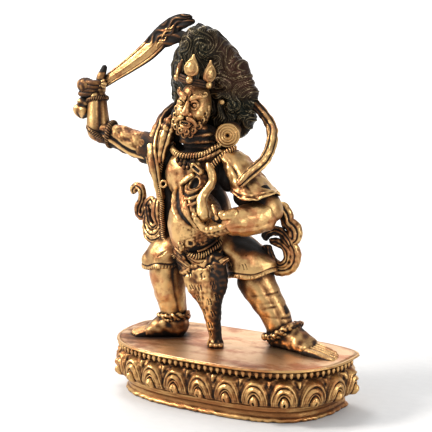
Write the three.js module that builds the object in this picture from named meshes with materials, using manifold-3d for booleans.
// A gilt bronze guardian figure from the Himalayan tradition, striding on a lotus base.
// Millimetres, +Z up, +X towards the figure's left hand, and the figure faces -Y.
// The origin is on the underside of the base, under the widest point of its plan.
import * as THREE from "three";
import { ParametricGeometry } from "three/addons/geometries/ParametricGeometry.js";
import { mergeVertices } from "three/addons/utils/BufferGeometryUtils.js";
import Module from "manifold-3d";

const wasm = await Module();
wasm.setup();

// Driving dimensions of the base.
const BASE_HEIGHT = 31.5;
const SEAT_GAP = 0.3;
const RIM_HALF_WIDTH = 75;
const RIM_FRONT = 57;
const RIM_BACK = 19;
const RIM_POWER = 2.8;
const PETALS = 13;
const PETAL_PHASE = 0.75;
const BEADS = 38;

// Driving dimensions of the figure: joints and centres, each [x, y, z].
const HIPS = [-21, -7, 84];
const CHEST = [-25, -5, 136];
const BELLY = [-21, -20, 103];
const HEAD = [-26, -12.5, 169];
const HEAD_YAW = THREE.MathUtils.degToRad(12);
const HEAD_LEAN = THREE.MathUtils.degToRad(9);
const CROWN_RADIUS = 13;
const CROWN_RISE = 13.5;
const LEAF_ANGLES = [-105, -47, 5, 68, 122];
const RIGHT_ELBOW = [-93, -16, 152];
const RIGHT_FIST = [-97, -13, 178];
const LEFT_SHOULDER = [-6, -5, 139];
const LEFT_ELBOW = [20, -8, 110];
const LEFT_HAND = [2, -31, 104];
const SWORD_GRIP = [-91, -13, 181.5];
const SWORD_TIP = [-36, -1.5, 220];

const TURN = 2 * Math.PI;
const vector = (p) => new THREE.Vector3(...p);
const mix = (a, b, t) => a + (b - a) * t;
const moved = (p, dx, dy, dz) => [p[0] + dx, p[1] + dy, p[2] + dz];

// A closed geometry as a solid: vertices that coincide are merged, and collapsed triangles are dropped.
function solidOf(geometry) {
  geometry.deleteAttribute("normal");
  geometry.deleteAttribute("uv");
  const merged = mergeVertices(geometry, 1e-3);
  const place = merged.attributes.position;
  const faces = [];
  for (let i = 0; i < merged.index.count; i += 3) {
    const [a, b, c] = [0, 1, 2].map((k) => merged.index.getX(i + k));
    if (a !== b && b !== c && a !== c) faces.push(a, b, c);
  }
  let volume = 0;
  const [p, q, r] = [new THREE.Vector3(), new THREE.Vector3(), new THREE.Vector3()];
  for (let i = 0; i < faces.length; i += 3) {
    p.fromBufferAttribute(place, faces[i]);
    q.fromBufferAttribute(place, faces[i + 1]);
    r.fromBufferAttribute(place, faces[i + 2]);
    volume += p.dot(q.cross(r));
  }
  if (volume < 0)
    for (let i = 0; i < faces.length; i += 3)
      [faces[i], faces[i + 1]] = [faces[i + 1], faces[i]];
  return new wasm.Manifold(
    new wasm.Mesh({ numProp: 3, vertProperties: place.array, triVerts: new Uint32Array(faces) }),
  );
}

// A closed form from shape(u, row): u runs once round it, and row counts from one end to the other.
function form(shape, around, rows) {
  return solidOf(
    new ParametricGeometry(
      (u, v, out) => out.copy(shape(u === 1 ? 0 : u * TURN, Math.round(v * rows))),
      around,
      rows,
    ),
  );
}

const roundSection = (angle) => [Math.cos(angle), Math.sin(angle)];
// A ribbon of cloth, broad and flat along its outer face.
const ribbonSection = (angle) => {
  const rise = Math.sin(angle);
  return [Math.cos(angle) * (rise > 0 ? 1.15 : 1), rise * (rise > 0 ? 1 : 0.8)];
};

// A form through stations [x, y, z, half width, half depth]. The depth lies along face, and the ends are flat.
function loft(stations, options = {}) {
  const { face = [0, -1, 0], faces, section = roundSection, around = 8, rows = 8 } = options;
  const centres = new THREE.CatmullRomCurve3(stations.map((s) => vector(s.slice(0, 3))));
  const sizes = new THREE.CatmullRomCurve3(stations.map((s) => vector([s[3], s[4], 0])));
  const facing = new THREE.CatmullRomCurve3((faces ?? stations.map(() => face)).map(vector));
  return form(
    (angle, row) => {
      const t = THREE.MathUtils.clamp((row - 1) / (rows - 2), 0, 1);
      const centre = centres.getPoint(t);
      if (row === 0 || row === rows) return centre;
      const ahead = centres.getTangent(t);
      const side = ahead.clone().cross(facing.getPoint(t)).normalize();
      const depth = side.clone().cross(ahead).normalize();
      const size = sizes.getPoint(t);
      const [a, b] = section(angle, t);
      return centre.addScaledVector(side, a * size.x).addScaledVector(depth, b * size.y);
    },
    around,
    rows,
  );
}

function ball(at, radii, detail = 1, turn = [0, 0, 0]) {
  const geometry = new THREE.IcosahedronGeometry(1, detail);
  geometry.scale(...radii);
  geometry.applyMatrix4(new THREE.Matrix4().makeRotationFromEuler(new THREE.Euler(...turn)));
  geometry.translate(...at);
  return solidOf(geometry);
}

// A small bead with eight faces, its points up, down and to the four sides.
function bead(at, radius) {
  const geometry = new THREE.OctahedronGeometry(radius, 0);
  geometry.translate(...at);
  return solidOf(geometry);
}

// A ring of round section: its centre, the way its hole faces, and its two radii.
function ring(at, hole, radius, thickness, around = 14, sides = 5, stretch = 1) {
  const geometry = new THREE.TorusGeometry(radius, thickness, sides, around);
  geometry.scale(1, stretch, 1);
  geometry.applyQuaternion(
    new THREE.Quaternion().setFromUnitVectors(vector([0, 0, 1]), vector(hole).normalize()),
  );
  geometry.translate(...at);
  return solidOf(geometry);
}

const join = (solids) => wasm.Manifold.union(solids);

// The casting without the tiny pockets that are shut in where its limbs and folds cross.
function outerSkin(solid) {
  const skins = solid.decompose();
  return skins.reduce((largest, skin) => (skin.volume() > largest.volume() ? skin : largest));
}

// The plan of the base, offset outwards: an oval with a full front and a shallow back.
function planPoint(angle, offset = 0) {
  const [c, s] = [Math.cos(angle), Math.sin(angle)];
  const reach = (value, size) => Math.sign(value) * Math.abs(value) ** (2 / RIM_POWER) * (size + offset);
  return [reach(c, RIM_HALF_WIDTH), reach(s, s > 0 ? RIM_BACK : RIM_FRONT)];
}

// Angles evenly spaced along the plan's edge, from its right end round the front to its left end.
function evenFrontAngles(count, phase = 0.5) {
  const steps = 720;
  const lengths = [0];
  for (let i = 1; i <= steps; i++) {
    const [ax, ay] = planPoint(Math.PI + (Math.PI * (i - 1)) / steps);
    const [bx, by] = planPoint(Math.PI + (Math.PI * i) / steps);
    lengths.push(lengths[i - 1] + Math.hypot(bx - ax, by - ay));
  }
  return Array.from({ length: count }, (_, k) => {
    const wanted = (lengths[steps] * (k + phase)) / count;
    return Math.PI + (Math.PI * lengths.findIndex((length) => length >= wanted)) / steps;
  });
}

// The wall of the base from its underside to its top: height, and offset from the rim's plan.
const BASE_WALL = [
  [0, -5],
  [2.4, -4.8],
  [3.4, -6.4],
  [9, -6.4],
  [17, -3.4],
  [25, -3.2],
  [29.6, -1.8],
  [29.9, 0],
  [BASE_HEIGHT, 0],
];

function baseBody() {
  const rows = BASE_WALL.length + 1;
  return form(
    (angle, row) => {
      if (row === 0 || row === rows) return vector([0, -20, row ? BASE_HEIGHT : 0]);
      const [z, offset] = BASE_WALL[row - 1];
      return vector([...planPoint(angle, offset), z]);
    },
    28,
    rows,
  );
}

// One lotus petal: a round-topped boss with one arched rim inside another round a curled heart.
function petal(angle) {
  const [middle, halfWidth, halfHeight] = [17.4, 8.3, 8.2];
  const [x, y] = planPoint(angle, -3.4);
  const [ax, ay] = planPoint(angle - 0.02, -3.4);
  const [bx, by] = planPoint(angle + 0.02, -3.4);
  const along = new THREE.Vector3(bx - ax, by - ay, 0).normalize();
  const out = new THREE.Vector3(along.y, -along.x, 0);
  const profile = [
    [0, 3.6],
    [0.42, 3],
    [0.6, 1.6],
    [0.82, 2.7],
    [1, -1.5],
    [0, -1.5],
  ];
  return form(
    (turn, row) => {
      const [radius, rise] = profile[row];
      const up = radius * halfHeight * Math.sin(turn);
      return new THREE.Vector3(x, y, middle + up)
        .addScaledVector(along, radius * halfWidth * Math.cos(turn))
        .addScaledVector(out, rise);
    },
    7,
    profile.length - 1,
  );
}

function lotusBase() {
  const petals = evenFrontAngles(PETALS, PETAL_PHASE).map(petal);
  const beads = evenFrontAngles(BEADS).map((angle) => bead([...planPoint(angle, -1.2), 27.9], 1.9));
  return join([baseBody(), ...petals, ...beads]);
}

// Trunk under the open coat, and the smooth bare belly that bulges through it.
function trunk() {
  const body = loft(
    [
      [...moved(HIPS, 0, 1, -8), 15, 11],
      [...moved(HIPS, 0, 0, 4), 22, 15.5],
      [...moved(HIPS, -1, 1, 20), 23, 15.5],
      [...moved(CHEST, 1, 1, -16), 23, 14],
      [...CHEST, 24, 12],
      [...moved(CHEST, 0, -1, 8), 18, 10.5],
      [...moved(CHEST, 0, -3, 13), 9.5, 8.5],
      [...moved(HEAD, 1, 2, -9), 8, 8.5],
    ],
    { around: 10, rows: 11 },
  );
  return join([body, ball(BELLY, [18, 19.5, 21.5]), ball(moved(BELLY, -5, 4, 24), [14, 10, 13])]);
}

// The flared skirt of the coat over each thigh, turned up in a rolled hem.
function coatSkirt() {
  const thigh = (stations) => loft(stations, { around: 9, rows: 8 });
  const right = thigh([
    [...moved(HIPS, -2, 1, 12), 14, 12],
    [...moved(HIPS, -15, -4, 5), 16, 14.5],
    [...moved(HIPS, -24, -8, -3), 15.5, 14],
    [...moved(HIPS, -26.6, -9.5, -10), 14.4, 13.6],
    [...moved(HIPS, -26.6, -10, -13), 15.6, 15],
  ]);
  const left = thigh([
    [...moved(HIPS, 2, 1, 12), 14, 12],
    [...moved(HIPS, 15, 1, 5), 16, 14.5],
    [...moved(HIPS, 24, 2, -3), 15.2, 14],
    [...moved(HIPS, 29, 2, -9.5), 14.4, 13.6],
    [...moved(HIPS, 31.5, 2, -12.5), 15.6, 14.8],
  ]);
  return join([right, left]);
}

function legs() {
  const right = loft(
    [
      [-42, -15, 82, 10, 10],
      [-43, -16, 70, 11, 11],
      [-41.5, -16, 59, 9.6, 9.8],
      [-40, -15, 49, 8.2, 8.2],
      [-39.5, -15, 41, 7.6, 7.6],
    ],
    { rows: 7 },
  );
  const left = loft(
    [
      [6, -4, 76, 11.5, 11],
      [12, -4, 67, 11, 11],
      [17, -4, 60, 9.8, 9.8],
      [24, -4, 50, 8.6, 8.6],
      [29, -4, 41, 7.8, 7.8],
    ],
    { rows: 7 },
  );
  return join([right, left]);
}

function feet() {
  const foot = (stations) => loft(stations, { face: [0, 0, 1], around: 6, rows: 7 });
  const right = foot([
    [-31, -11.5, 36, 5, 5],
    [-35, -13, 38.5, 7, 8],
    [-42, -16.5, 38.5, 7, 8],
    [-52, -21, 35.5, 7.8, 5],
    [-62, -25.5, 33, 6, 2.6],
  ]);
  const left = foot([
    [18, 0, 36, 5.5, 5.5],
    [25, -2, 38.5, 7.5, 8.5],
    [37, -5.5, 38.5, 7.8, 8],
    [52, -9.5, 35.5, 9, 5],
    [66, -12.5, 33, 7.8, 2.6],
  ]);
  const rightCuff = ring([-39.5, -15, 44], [-0.12, 0.05, 1], 8.6, 2.4, 10, 4);
  const leftCuff = ring([29, -4, 43.5], [0.42, 0, -0.9], 9, 2.5, 10, 4);
  return join([right, left, rightCuff, leftCuff]);
}

// The hide that hangs from the sash between the legs and stands on the base as a prop.
function hangingHide() {
  return loft(
    [
      [-17, -22, 84, 15, 5.5],
      [-13, -24, 76, 15, 5.5],
      [-9, -25, 66.5, 13, 5.5],
      [-7.2, -25, 58, 8.4, 5],
      [-6, -24, 47, 4.9, 4.4],
      [-5, -23, 38, 4.4, 4.2],
      [-4.8, -23, 31.6, 5.8, 5],
    ],
    { rows: 9 },
  );
}

function swordArm() {
  const sleeve = loft(
    [
      [...moved(CHEST, -16, 0, 4), 9, 9],
      [...moved(CHEST, -30, -2, 7), 9.5, 9.5],
      [...moved(CHEST, -42, -4, 8), 10.5, 10],
    ],
    { rows: 4 },
  );
  const upper = loft(
    [
      [...moved(CHEST, -30, -3, 6), 8.5, 8.5],
      [...moved(CHEST, -44, -6, 9.5), 8.2, 8.2],
      [...moved(RIGHT_ELBOW, 9, 2, -1.5), 7.2, 7.2],
      [...moved(RIGHT_ELBOW, 0, 0, 0), 6.2, 6.2],
    ],
    { rows: 6 },
  );
  const fore = loft(
    [
      [...moved(RIGHT_ELBOW, 1, 0, -6), 4, 4],
      [...moved(RIGHT_ELBOW, 0, 0, 2), 7.2, 7.2],
      [...moved(RIGHT_ELBOW, -1.2, 1, 12), 6.4, 6.4],
      [...moved(RIGHT_FIST, 2, -1, -5), 5.4, 5.4],
    ],
    { rows: 6 },
  );
  const fist = ball(RIGHT_FIST, [7, 6.6, 5.8]);
  const finger = loft(
    [
      [...moved(RIGHT_FIST, 4, 0, 3), 2.4, 2.4],
      [...moved(RIGHT_FIST, 3.6, 0, 9), 2.1, 2.1],
      [...moved(RIGHT_FIST, 4.8, 0, 14.5), 1.4, 1.4],
    ],
    { around: 5, rows: 4 },
  );
  return join([sleeve, upper, fore, fist, finger]);
}

// The sword: a lotus-bud pommel, a grip, and a flat blade that widens to a flame-shaped end.
function sword() {
  const [grip, tip] = [vector(SWORD_GRIP), vector(SWORD_TIP)];
  const run = tip.clone().sub(grip);
  const ahead = run.clone().normalize();
  const up = new THREE.Vector3(0, 0, 1).addScaledVector(ahead, -ahead.z).normalize();
  const at = (t, rise) => grip.clone().addScaledVector(run, t).addScaledVector(up, rise).toArray();
  const bladeFace = ahead.clone().cross(up).toArray();
  const blade = loft(
    [
      [...at(-0.1, 0), 2.2, 1.8],
      [...at(0.1, 0), 2.9, 1.8],
      [...at(0.3, -0.6), 3.7, 1.8],
      [...at(0.52, -0.4), 5.4, 1.8],
      [...at(0.7, 1.6), 6.4, 1.8],
      [...at(0.84, 2.6), 5.4, 1.8],
      [...at(0.94, 2.4), 3.6, 1.6],
      [...at(1.03, 0.4), 1.2, 1],
    ],
    { face: bladeFace, around: 6, rows: 9 },
  );
  const lobe = loft(
    [
      [...at(0.72, -1), 4.5, 1.7],
      [...at(0.84, -3.5), 4, 2.2],
      [...at(0.92, -6.5), 3, 2.6],
    ],
    { face: bladeFace, around: 6, rows: 5 },
  );
  const pommel = loft(
    [
      [...moved(RIGHT_FIST, 0, 0, 0), 2.4, 2.4],
      [...moved(RIGHT_FIST, -6.5, -1, -6), 3.2, 3.2],
      [...moved(RIGHT_FIST, -10, -2, -12), 4.6, 4.6],
      [...moved(RIGHT_FIST, -12, -3, -16.5), 3.4, 3.4],
      [...moved(RIGHT_FIST, -13, -3.4, -19), 1, 1],
    ],
    { around: 6, rows: 5 },
  );
  return join([blade, lobe, pommel, ball(SWORD_GRIP, [3, 2.8, 3], 0)]);
}

function leftArm() {
  const toElbow = (t, dx, dy, dz) =>
    LEFT_SHOULDER.map((value, axis) => mix(value, LEFT_ELBOW[axis], t) + [dx, dy, dz][axis]);
  const sleeve = loft(
    [
      [...toElbow(-0.25, 0, 0, 0), 9, 9],
      [...toElbow(0.05, 0, 0, 0), 11.5, 10.5],
      [...toElbow(0.35, 0, 0, 0), 12, 11],
      [...toElbow(0.55, 0, 0, 0), 13.5, 12.5],
      [...toElbow(0.66, 0, 0, 0), 15, 14],
    ],
    { around: 8, rows: 6 },
  );
  const elbow = loft(
    [
      [...toElbow(0.5, 0, -1, 0), 9.5, 9.5],
      [...toElbow(0.88, 0, 0, 0), 9.6, 9.6],
      [...toElbow(1.1, 0, -2, 0), 7.5, 7.5],
    ],
    { rows: 4 },
  );
  const fore = loft(
    [
      [...moved(LEFT_ELBOW, 4, 3, 1), 7.5, 7.5],
      [...moved(LEFT_ELBOW, 0, -4, -0.5), 9.8, 9.8],
      [...moved(LEFT_ELBOW, -6, -13, -2.5), 9.4, 9.4],
      [...moved(LEFT_HAND, 6, 3, 1.5), 7.6, 7.6],
      [...moved(LEFT_HAND, 1, -1, 1), 5.4, 6],
    ],
    { face: [0, 0, 1], rows: 6 },
  );
  return join([sleeve, elbow, fore]);
}

// What the left hand holds before the breast: a bag with an upright lip and a curled knot beside it.
function heldBag() {
  const bag = loft(
    [
      [...moved(LEFT_HAND, -15, 0, 7), 4, 5],
      [...moved(LEFT_HAND, -9, -3, 0), 5.5, 7],
      [...moved(LEFT_HAND, -2, -4, -1), 5.5, 7],
      [...moved(LEFT_HAND, 4, -3, 2.5), 3.5, 5],
    ],
    { face: [0, -0.7, 0.7], around: 6, rows: 6 },
  );
  const lip = loft(
    [
      [...moved(LEFT_HAND, -3, -1, 0), 6, 5.5],
      [...moved(LEFT_HAND, -6, 0, 11), 6, 5],
      [...moved(LEFT_HAND, -7.6, 3, 19), 4.4, 3.8],
      [...moved(LEFT_HAND, -7, 5, 27), 3.2, 3],
      [...moved(LEFT_HAND, -11, 8, 34), 2.6, 2.4],
    ],
    { around: 6, rows: 8 },
  );
  const knot = loft(
    [
      [...moved(LEFT_HAND, -17, -1, 20), 2.8, 3],
      [...moved(LEFT_HAND, -19, -2, 14), 4.2, 4],
      [...moved(LEFT_HAND, -16, -2, 6), 4, 4],
      [...moved(LEFT_HAND, -11, -3, 0), 3, 3],
    ],
    { around: 6, rows: 5 },
  );
  return join([bag, lip, knot]);
}

// Ribbons of the long scarf, each station with its half width, half thickness and the way its face looks.
const SCARF_RIBBONS = [
  // over the left shoulder, from behind the hair to the breast
  [
    [-8, 15, 178, 2.8, 2.2, 0.5, -0.8, 0.2],
    [2, 13, 170, 3.2, 2.4, 0.6, -0.7, 0.4],
    [9, 10, 162, 3.2, 2.6, 0.8, -0.6, 0.2],
    [14, 5, 153, 3.2, 2.6, 0.8, -0.6, 0.2],
    [17, -2, 145, 3.2, 2.6, 0.7, -0.7, 0.2],
    [15, -10, 138, 3.6, 2.8, 0.4, -0.8, 0.3],
    [11, -16, 131, 3.8, 2.8, 0.2, -1, 0.2],
    [7, -18, 124, 4.4, 2.8, 0, -1, 0.1],
  ],
  // over the right shoulder, and down the side of the coat
  [
    [-50, 12, 170, 3.2, 2.4, -0.7, -0.5, 0.4],
    [-58, 1, 161, 4, 2.8, -0.7, -0.6, 0.5],
    [-58, -12, 150, 4.4, 3, -0.3, -0.9, 0.3],
    [-55, -16, 141, 4.4, 3, -0.1, -1, 0],
    [-52, -17, 131, 4, 3, 0, -1, 0],
    [-48, -17, 120, 3.6, 3, -0.2, -1, 0],
    [-46, -17, 106, 3.4, 3, -0.3, -1, 0],
    [-46, -17, 92, 3.2, 3, -0.3, -1, 0],
  ],
  // the coat's collar beside it
  [
    [-46, -6, 163, 3, 2.8, -0.2, -0.9, 0.3],
    [-46, -15, 154, 3.6, 3, -0.2, -0.9, 0.3],
    [-46, -17, 144, 3.4, 3, -0.1, -1, 0],
    [-44, -16, 134, 2.6, 2.4, -0.1, -1, 0],
  ],
  // the curled end that stands off the right hip
  [
    [-52, -14, 86, 5, 4, 0.3, -1, 0],
    [-55, -13, 97, 5, 4, 0.3, -1, 0],
    [-58, -10, 106, 4, 3.2, 0.3, -1, 0],
    [-64, -8, 101.5, 3, 2.6, 0.3, -1, 0],
    [-68.5, -8, 104, 2.8, 2.6, 0.3, -1, 0],
    [-67, -7, 111, 2.8, 2.6, 0.3, -1, 0],
    [-69.5, -6, 116.5, 2.8, 2.6, 0.3, -1, 0],
    [-74.5, -6, 116.5, 2.6, 2.4, 0.3, -1, 0],
    [-75.5, -6, 112.5, 2.4, 2.4, 0.3, -1, 0],
  ],
  // the knotted end behind the left elbow
  [
    [12, 2, 112, 3.6, 3.4, 0.4, -1, 0],
    [22, 4, 112, 4, 3.4, 0.4, -1, 0],
    [29, 4, 106, 4, 3.4, 0.4, -1, 0],
    [33, 3, 99, 4.4, 3.4, 0.4, -1, 0],
    [30, 2, 92, 4.2, 3.4, 0.4, -1, 0],
    [22, 2, 91, 4, 3.4, 0.4, -1, 0],
    [12, 2, 92, 3.6, 3, 0.4, -1, 0],
  ],
];

function scarves() {
  const ribbons = SCARF_RIBBONS.map((stations) =>
    loft(stations, {
      faces: stations.map((s) => s.slice(5)),
      section: ribbonSection,
      around: 5,
      rows: stations.length + 3,
    }),
  );
  const hipLoop = ring([25, 1, 83], [0.35, -1, 0.1], 6.8, 3.6, 10, 5, 1.15);
  return join([...ribbons, hipLoop]);
}

// Rope belt under the belly, and two twisted necklaces.
function beltAndNecklaces() {
  const belt = ring(moved(HIPS, 0, -2, 1), [0, -0.25, 1], 20, 4, 12, 4);
  const collar = ring(moved(CHEST, -1, -5, 11), [0, -0.45, 1], 11, 2.6, 12, 4);
  const chain = ring(moved(CHEST, 3, -5, 4), [0.1, -0.9, 0.8], 14.5, 2.4, 12, 4);
  return join([belt, collar, chain]);
}

// The face and crown are modelled upright about the middle of the head, then leant and turned.
function headPlacement() {
  return new THREE.Matrix4()
    .makeTranslation(...HEAD)
    .multiply(new THREE.Matrix4().makeRotationZ(HEAD_YAW))
    .multiply(new THREE.Matrix4().makeRotationY(HEAD_LEAN));
}

function face() {
  const skull = ball([0, 0, 0], [11.4, 12.4, 16.4]);
  const nose = loft(
    [
      [0, -11, 4, 1.8, 1.6],
      [0, -13, 0, 2.6, 2.4],
      [0, -13.5, -3, 3.8, 2.2],
      [0, -12, -4.5, 3.2, 1.6],
    ],
    { around: 6, rows: 5 },
  );
  const pairs = [1, -1].flatMap((side) => [
    ball([side * 4.6, -9.8, 3], [2.7, 2.4, 2.2], 0),
    ball([side * 4.8, -10.2, 6.4], [4, 2, 1.5], 0, [0, side * -0.35, 0]),
    ball([side * 3.4, -10.8, -6.4], [3.4, 2, 1.2], 0, [0, side * 0.3, 0]),
  ]);
  const thirdEye = ball([0, -11.2, 8.5], [1.5, 1.6, 2.4], 0);
  const lowerLip = ball([0, -10.4, -9.6], [4.6, 2.4, 1.5], 0);
  const beard = [-5, 0, 5].map((x) => ball([x, -7.4 + Math.abs(x) * 0.4, -13], [3.2, 3, 3], 0));
  return join([skull, nose, ...pairs, thirdEye, lowerLip, ...beard]);
}

function crown() {
  const band = ring([0, 0.5, CROWN_RISE], [0, 0, 1], CROWN_RADIUS - 0.8, 2, 12, 4);
  const pieces = LEAF_ANGLES.flatMap((degrees) => {
    const turn = THREE.MathUtils.degToRad(degrees);
    const out = [Math.sin(turn), -Math.cos(turn), 0];
    const at = (radius, z) => [out[0] * radius, 0.5 + out[1] * radius, CROWN_RISE + z];
    const leaf = loft(
      [
        [...at(CROWN_RADIUS - 0.5, 1), 2.4, 1.6],
        [...at(CROWN_RADIUS, 4.5), 4, 2.8],
        [...at(CROWN_RADIUS, 8.5), 3.4, 2.2],
        [...at(CROWN_RADIUS - 1, 14), 0.8, 0.8],
      ],
      { face: out, around: 5, rows: 4 },
    );
    return [leaf, bead(at(CROWN_RADIUS + 0.8, 0), 2.4)];
  });
  return join([band, ...pieces]);
}

// The upswept hair, seen from the front: height, half width, how far back its edge lies,
// and how far it swells in front of its edge and behind it.
const HAIR_SECTIONS = [
  [147, 13, 6, 6, 6],
  [153, 23, 9, 9, 8],
  [160, 27, 11, 12, 9],
  [170, 29, 11, 13, 10],
  [182, 28, 10, 17, 11],
  [194, 23, 7, 18, 11],
  [205, 16, 2, 15, 11],
  [213, 9, -3, 10, 8],
  [217.5, 3, -6, 4, 4],
];

// Its surface is cut into rows of locks, each row set between the locks of the row below.
function hair() {
  const [around, rows] = [18, 11];
  const lock = 1.6;
  const outline = new THREE.CatmullRomCurve3(HAIR_SECTIONS.map((s) => vector(s.slice(0, 3))));
  const depths = new THREE.CatmullRomCurve3(HAIR_SECTIONS.map((s) => vector([s[3], s[4], 0])));
  return form(
    (angle, row) => {
      const t = THREE.MathUtils.clamp((row - 1) / (rows - 2), 0, 1);
      const [z, halfWidth, back] = outline.getPoint(t).toArray();
      if (row === 0 || row === rows) return vector([HEAD[0], back, z]);
      const [front, behind] = depths.getPoint(t).toArray();
      const [c, s] = [Math.cos(angle), Math.sin(angle)];
      const step = Math.round((angle / TURN) * around);
      const out = (step + row) % 2 === 0 ? lock : 0;
      const depth = (s < 0 ? front : behind) + out;
      return vector([HEAD[0] + (halfWidth + out - 0.8) * c, back + depth * s, z]);
    },
    around,
    rows,
  );
}

function earDisc(side) {
  const disc = new THREE.LatheGeometry(
    [
      [0, -1.5],
      [6.4, -1.5],
      [6.8, 1],
      [4.4, 1.6],
      [2.4, 0.4],
      [0, 1],
    ].map(([r, h]) => new THREE.Vector2(r, h)),
    9,
  );
  const out = new THREE.Vector3(side * 0.5, -0.86, 0.05).normalize();
  disc.applyQuaternion(new THREE.Quaternion().setFromUnitVectors(new THREE.Vector3(0, 1, 0), out));
  disc.translate(HEAD[0] + side * 20.5, -9, 153);
  const stem = ball([HEAD[0] + side * 17.5, 0, 156], [5, 9, 5], 0);
  return join([solidOf(disc), stem]);
}

function head() {
  const upright = join([face(), crown()]);
  return join([upright.transform(headPlacement().elements), hair(), earDisc(1), earDisc(-1)]);
}

function figure() {
  const whole = join([
    trunk(),
    coatSkirt(),
    legs(),
    feet(),
    hangingHide(),
    swordArm(),
    sword(),
    leftArm(),
    heldBag(),
    scarves(),
    beltAndNecklaces(),
    head(),
  ]);
  const below = new THREE.BoxGeometry(400, 400, 100);
  below.translate(0, 0, BASE_HEIGHT + SEAT_GAP - 50);
  return outerSkin(whole.subtract(solidOf(below)));
}

function meshOf(name, solid, material) {
  const made = solid.getMesh();
  const places = new Float32Array(made.numVert * 3);
  for (let i = 0; i < made.numVert; i++)
    places.set(made.vertProperties.subarray(i * made.numProp, i * made.numProp + 3), i * 3);
  const geometry = new THREE.BufferGeometry();
  geometry.setAttribute("position", new THREE.BufferAttribute(places, 3));
  geometry.setIndex(new THREE.BufferAttribute(made.triVerts, 1));
  geometry.computeVertexNormals();
  const mesh = new THREE.Mesh(geometry, material);
  mesh.name = name;
  return mesh;
}

const gilding = new THREE.MeshStandardMaterial({ color: 0xb07c3a, metalness: 1, roughness: 0.35 });
const wornGilding = new THREE.MeshStandardMaterial({ color: 0x9c6530, metalness: 1, roughness: 0.4 });

const statue = new THREE.Group();
statue.add(meshOf("figure", figure(), gilding));
statue.add(meshOf("lotus_base", lotusBase(), wornGilding));

export default statue;
